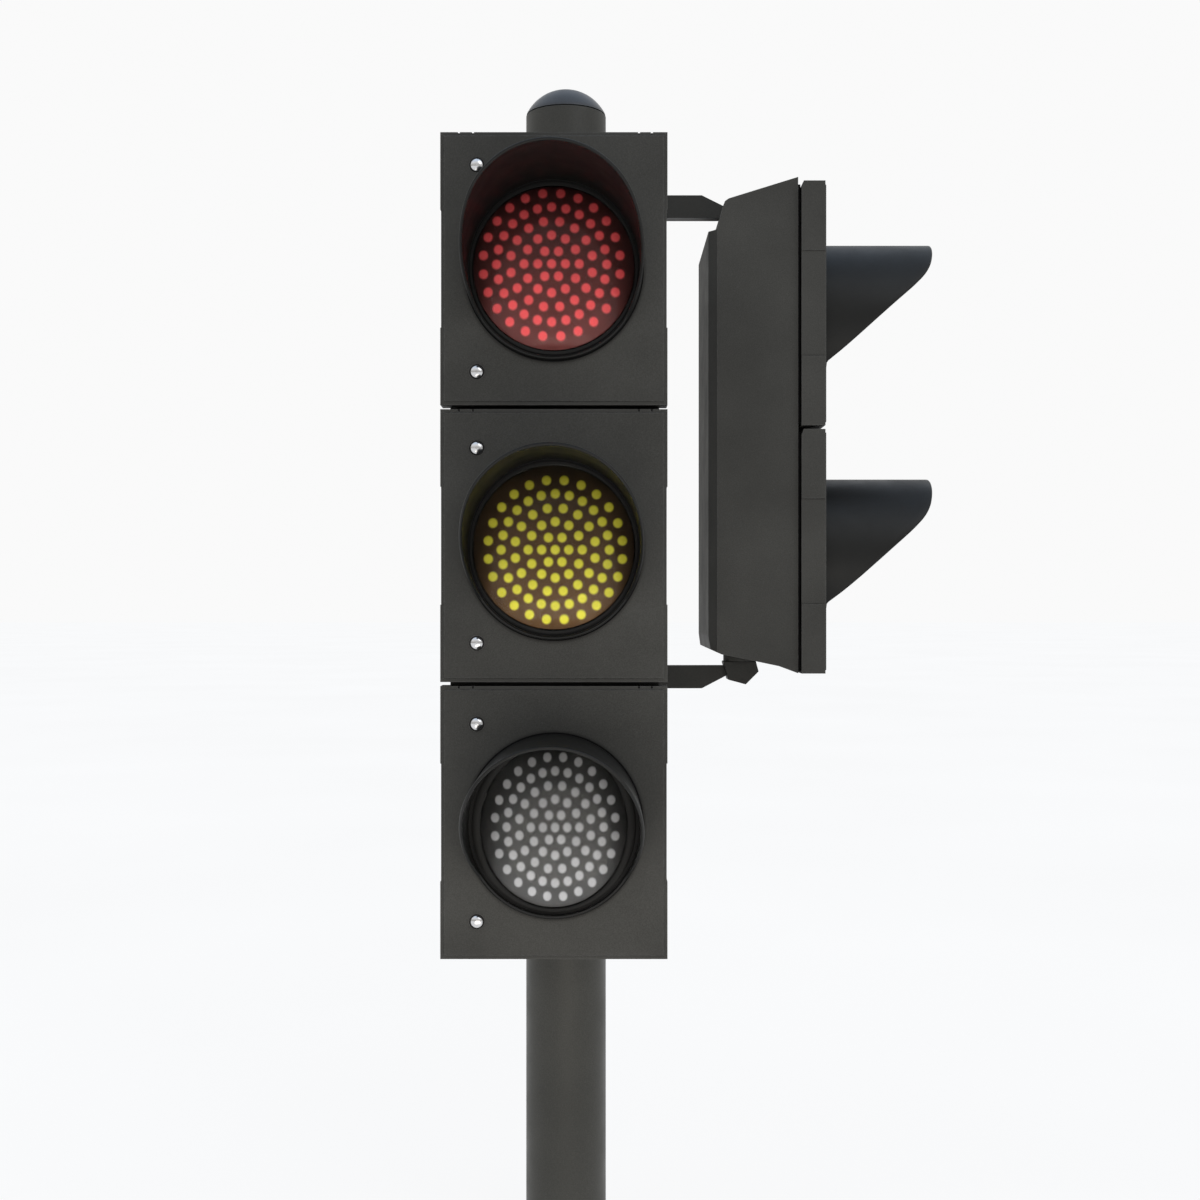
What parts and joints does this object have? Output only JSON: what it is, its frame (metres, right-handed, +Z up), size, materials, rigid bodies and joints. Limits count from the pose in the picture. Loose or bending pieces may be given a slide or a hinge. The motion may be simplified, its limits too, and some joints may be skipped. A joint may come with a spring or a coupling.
{
  "type": "traffic signal head",
  "caption": "Pole-mounted traffic signal with a front head and a side head, hinged doors, round cut-away visors and LED lamps.",
  "frame": {"origin": "on the pole's axis at its lower end, the mouth of the socket sleeve", "axes": "+Z up along the pole; the front head faces -Y; the side head faces +X"},
  "size_m": [0.6623, 0.6553, 1.631],
  "materials": {
    "pole_paint": "powder coat, fine grain, charcoal grey",
    "cap_paint": "powder coat, satin",
    "bracket_paint": "powder coat over cast metal",
    "galvanised_steel": "dull zinc",
    "zinc_fasteners": "zinc plated",
    "chrome_screws": "polished",
    "head_plastic": "moulded, fine texture",
    "visor_plastic": "moulded, matt inside",
    "housing_plastic": "moulded",
    "seal_rubber": "foam rubber",
    "terminal_plastic": "moulded",
    "red_lens": "clear polycarbonate over a maroon board",
    "amber_lens": "clear polycarbonate over a brown board",
    "clear_lens": "clear polycarbonate over a grey board",
    "green_lens": "clear polycarbonate over a green board",
    "red_diodes": "frosted",
    "amber_diodes": "frosted",
    "clear_diodes": "frosted",
    "green_diodes": "frosted"
  },
  "bodies": {
    "root": {"pole": "pole_paint", "base_sleeve": "galvanised_steel", "pole_cap": "cap_paint", "cap_screws": "zinc_fasteners", "upper_collar_front": "bracket_paint", "upper_collar_back": "bracket_paint", "middle_collar_front": "bracket_paint", "middle_collar_back": "bracket_paint", "lower_collar_front": "bracket_paint", "lower_collar_back": "bracket_paint", "collar_bolts": "zinc_fasteners", "main_upper_arm": "bracket_paint", "main_lower_arm": "bracket_paint", "side_upper_arm": "bracket_paint", "side_lower_arm": "bracket_paint", "arm_bolts": "zinc_fasteners", "pivot_bolts": "zinc_fasteners"},
    "main_head": {"main_case": "head_plastic", "main_door_seals": "seal_rubber", "main_hinge_pins": "zinc_fasteners", "main_terminal_block": "terminal_plastic"},
    "side_head": {"side_case": "head_plastic", "side_door_seals": "seal_rubber", "side_hinge_pins": "zinc_fasteners", "side_terminal_block": "terminal_plastic"},
    "main_red_door": {"main_red_door": "head_plastic", "main_red_visor": "visor_plastic", "main_red_lens": "red_lens", "main_red_leds": "red_diodes", "main_red_housing": "housing_plastic"},
    "main_red_upper_latch": {"main_red_upper_latch": "chrome_screws"},
    "main_red_lower_latch": {"main_red_lower_latch": "chrome_screws"},
    "main_amber_door": {"main_amber_door": "head_plastic", "main_amber_visor": "visor_plastic", "main_amber_lens": "amber_lens", "main_amber_leds": "amber_diodes", "main_amber_housing": "housing_plastic"},
    "main_amber_upper_latch": {"main_amber_upper_latch": "chrome_screws"},
    "main_amber_lower_latch": {"main_amber_lower_latch": "chrome_screws"},
    "main_clear_door": {"main_clear_door": "head_plastic", "main_clear_visor": "visor_plastic", "main_clear_lens": "clear_lens", "main_clear_leds": "clear_diodes", "main_clear_housing": "housing_plastic"},
    "main_clear_upper_latch": {"main_clear_upper_latch": "chrome_screws"},
    "main_clear_lower_latch": {"main_clear_lower_latch": "chrome_screws"},
    "side_red_door": {"side_red_door": "head_plastic", "side_red_visor": "visor_plastic", "side_red_lens": "red_lens", "side_red_leds": "red_diodes", "side_red_housing": "housing_plastic"},
    "side_red_upper_latch": {"side_red_upper_latch": "chrome_screws"},
    "side_red_lower_latch": {"side_red_lower_latch": "chrome_screws"},
    "side_green_door": {"side_green_door": "head_plastic", "side_green_visor": "visor_plastic", "side_green_lens": "green_lens", "side_green_leds": "green_diodes", "side_green_housing": "housing_plastic"},
    "side_green_upper_latch": {"side_green_upper_latch": "chrome_screws"},
    "side_green_lower_latch": {"side_green_lower_latch": "chrome_screws"}
  },
  "joints": [
    {"name": "main_swivel", "type": "hinge", "parent": "root", "child": "main_head", "pos_m": [-0.007, -0.25, 0.9], "axis": [0, 0, 1], "range_deg": [-20, 20]},
    {"name": "side_swivel", "type": "hinge", "parent": "root", "child": "side_head", "pos_m": [0.25, 0, 0.9], "axis": [0, 0, 1], "range_deg": [-20, 20]},
    {"name": "main_red_hinge", "type": "hinge", "parent": "main_head", "child": "main_red_door", "pos_m": [0.126, -0.3187, 1.301], "axis": [0, 0, 1], "range_deg": [0, 100]},
    {"name": "main_red_upper_turn", "type": "hinge", "parent": "main_red_door", "child": "main_red_upper_latch", "pos_m": [-0.1002, -0.3548, 1.426], "axis": [0, -1, 0], "range_deg": [0, 90]},
    {"name": "main_red_lower_turn", "type": "hinge", "parent": "main_red_door", "child": "main_red_lower_latch", "pos_m": [-0.1002, -0.3548, 1.176], "axis": [0, -1, 0], "range_deg": [0, 90]},
    {"name": "main_amber_hinge", "type": "hinge", "parent": "main_head", "child": "main_amber_door", "pos_m": [0.126, -0.3187, 0.9658], "axis": [0, 0, 1], "range_deg": [0, 100]},
    {"name": "main_amber_upper_turn", "type": "hinge", "parent": "main_amber_door", "child": "main_amber_upper_latch", "pos_m": [-0.1002, -0.3548, 1.0838], "axis": [0, -1, 0], "range_deg": [0, 90]},
    {"name": "main_amber_lower_turn", "type": "hinge", "parent": "main_amber_door", "child": "main_amber_lower_latch", "pos_m": [-0.1002, -0.3548, 0.8478], "axis": [0, -1, 0], "range_deg": [0, 90]},
    {"name": "main_clear_hinge", "type": "hinge", "parent": "main_head", "child": "main_clear_door", "pos_m": [0.126, -0.3187, 0.6306], "axis": [0, 0, 1], "range_deg": [0, 100]},
    {"name": "main_clear_upper_turn", "type": "hinge", "parent": "main_clear_door", "child": "main_clear_upper_latch", "pos_m": [-0.1002, -0.3548, 0.7501], "axis": [0, -1, 0], "range_deg": [0, 90]},
    {"name": "main_clear_lower_turn", "type": "hinge", "parent": "main_clear_door", "child": "main_clear_lower_latch", "pos_m": [-0.1002, -0.3548, 0.5111], "axis": [0, -1, 0], "range_deg": [0, 90]},
    {"name": "side_red_hinge", "type": "hinge", "parent": "side_head", "child": "side_red_door", "pos_m": [0.3187, 0.133, 1.301], "axis": [0, 0, 1], "range_deg": [0, 100]},
    {"name": "side_red_upper_turn", "type": "hinge", "parent": "side_red_door", "child": "side_red_upper_latch", "pos_m": [0.3548, -0.0932, 1.426], "axis": [1, 0, 0], "range_deg": [0, 90]},
    {"name": "side_red_lower_turn", "type": "hinge", "parent": "side_red_door", "child": "side_red_lower_latch", "pos_m": [0.3548, -0.0932, 1.176], "axis": [1, 0, 0], "range_deg": [0, 90]},
    {"name": "side_green_hinge", "type": "hinge", "parent": "side_head", "child": "side_green_door", "pos_m": [0.3187, 0.133, 0.9658], "axis": [0, 0, 1], "range_deg": [0, 100]},
    {"name": "side_green_upper_turn", "type": "hinge", "parent": "side_green_door", "child": "side_green_upper_latch", "pos_m": [0.3548, -0.0932, 1.0838], "axis": [1, 0, 0], "range_deg": [0, 90]},
    {"name": "side_green_lower_turn", "type": "hinge", "parent": "side_green_door", "child": "side_green_lower_latch", "pos_m": [0.3548, -0.0932, 0.8478], "axis": [1, 0, 0], "range_deg": [0, 90]}
  ]
}
